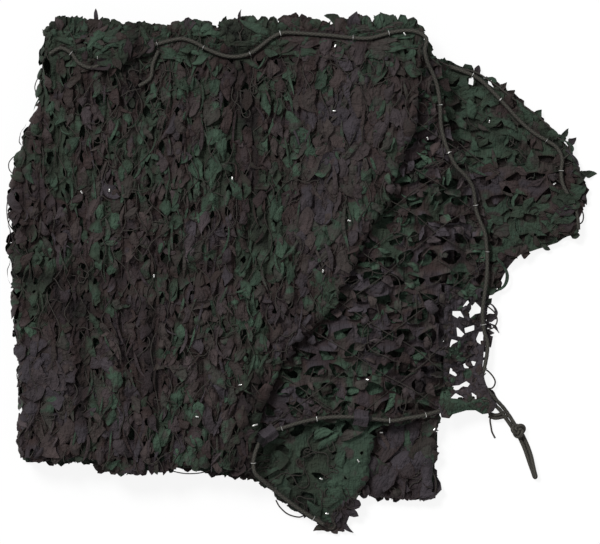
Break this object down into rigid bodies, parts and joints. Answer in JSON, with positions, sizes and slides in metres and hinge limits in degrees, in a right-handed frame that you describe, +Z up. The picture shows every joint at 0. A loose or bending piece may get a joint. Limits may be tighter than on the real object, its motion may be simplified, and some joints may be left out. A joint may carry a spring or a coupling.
{
  "type": "folded camouflage net",
  "caption": "Leaf-cut camouflage net with a roped edge, folded back and forth into a flat pack with one corner opened out beside it.",
  "frame": {"origin": "on the flat underside of the folded net, under the middle of the pack, at the height of the surface it lies on", "axes": "+Z up, away from the surface; +X along the pack's front edge towards the corner that is opened out, the longest extent; +Y towards the pack's back edge"},
  "size_m": [1.0378, 0.91, 0.0889],
  "materials": {
    "leaf_cloth": "matt leaf-cut cloth in dark green and brown patches",
    "brown_cloth": "matt brown cloth",
    "edge_rope": "matt braided cord",
    "clip_steel": "bright zinc-plated wire"
  },
  "bodies": {
    "root": {"clip_back_01": "clip_steel", "clip_back_02": "clip_steel", "clip_back_03": "clip_steel", "clip_back_04": "clip_steel", "clip_back_05": "clip_steel", "clip_back_06": "clip_steel", "clip_back_07": "clip_steel", "clip_back_08": "clip_steel", "clip_back_09": "clip_steel", "clip_back_10": "clip_steel", "clip_back_11": "clip_steel", "clip_back_12": "clip_steel", "clip_front_01": "clip_steel", "clip_front_02": "clip_steel", "clip_front_03": "clip_steel", "clip_front_04": "clip_steel", "clip_front_05": "clip_steel", "clip_front_06": "clip_steel", "clip_front_07": "clip_steel", "clip_front_08": "clip_steel", "clip_wing_01": "clip_steel", "clip_wing_02": "clip_steel", "clip_wing_03": "clip_steel", "clip_wing_04": "clip_steel", "corner_knot": "edge_rope", "corner_tail": "edge_rope", "edge_rope_back": "edge_rope", "edge_rope_front": "edge_rope", "edge_rope_hanging": "edge_rope", "edge_rope_wing": "edge_rope", "hem_tab_left": "brown_cloth", "hem_tab_middle": "brown_cloth", "net_cloth": "leaf_cloth"}
  },
  "joints": []
}
